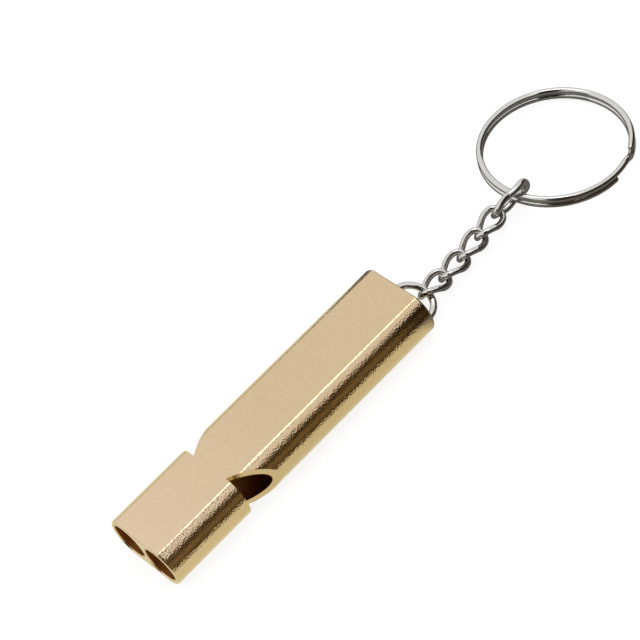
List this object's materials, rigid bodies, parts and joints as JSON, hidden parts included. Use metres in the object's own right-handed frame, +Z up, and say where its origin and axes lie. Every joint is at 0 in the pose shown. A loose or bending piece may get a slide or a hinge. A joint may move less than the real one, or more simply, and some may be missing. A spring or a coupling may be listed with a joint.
{
  "type": "survival whistle",
  "caption": "Flat double-tube metal whistle with a side window on each tube, and a curb chain with a split key ring at its tail.",
  "frame": {"origin": "centre of the whistle body's flat underside, on the surface it lies on", "axes": "+X from the mouth end to the chain and key ring, +Y to the whistle's left, +Z up out of the flat top"},
  "size_m": [0.1131, 0.027, 0.0085],
  "materials": {
    "gold_anodised": "bead-blasted and anodised pale gold, matt",
    "nickel_steel": "nickel-plated steel wire, bright"
  },
  "bodies": {
    "whistle": {"whistle_body": "gold_anodised", "windway_plug_left": "gold_anodised", "windway_plug_right": "gold_anodised", "stop_plug_left": "gold_anodised", "stop_plug_right": "gold_anodised"},
    "jump_ring": {"jump_ring": "nickel_steel"},
    "link_1": {"chain_link_1": "nickel_steel"},
    "link_2": {"chain_link_2": "nickel_steel"},
    "link_3": {"chain_link_3": "nickel_steel"},
    "link_4": {"chain_link_4": "nickel_steel"},
    "end_link": {"end_link": "nickel_steel"},
    "key_ring": {"split_ring": "nickel_steel"}
  },
  "joints": [
    {"name": "ring_hole_swing", "type": "hinge", "parent": "whistle", "child": "jump_ring", "pos_m": [0.0274, 0, 0.00425], "axis": [0, 1, 0], "range_deg": [-30, 3]},
    {"name": "link_1_swing", "type": "hinge", "parent": "jump_ring", "child": "link_1", "pos_m": [0.03423, -0.0015, 0.00254], "axis": [-0.0405, -0.9499, -0.3099], "range_deg": [-60, 60]},
    {"name": "link_2_swing", "type": "hinge", "parent": "link_1", "child": "link_2", "pos_m": [0.03899, -0.00142, 0.00195], "axis": [0.0517, 0.8397, 0.5406], "range_deg": [-40, 50]},
    {"name": "link_3_swing", "type": "hinge", "parent": "link_2", "child": "link_3", "pos_m": [0.04268, -0.00114, 0.00183], "axis": [0.059, 0.5485, -0.8341], "range_deg": [-55, 35]},
    {"name": "link_4_swing", "type": "hinge", "parent": "link_3", "child": "link_4", "pos_m": [0.04864, -0.00083, 0.00246], "axis": [0.1007, -0.8345, -0.5417], "range_deg": [-50, 40]},
    {"name": "end_link_swing", "type": "hinge", "parent": "link_4", "child": "end_link", "pos_m": [0.05225, -0.00058, 0.00305], "axis": [-0.2479, -0.5869, 0.7708], "range_deg": [-70, 70]},
    {"name": "split_ring_swing", "type": "hinge", "parent": "end_link", "child": "key_ring", "pos_m": [0.0569, -0.00123, 0.00375], "axis": [-0.1728, 0.9848, 0.0176], "range_deg": [-60, 60]}
  ]
}
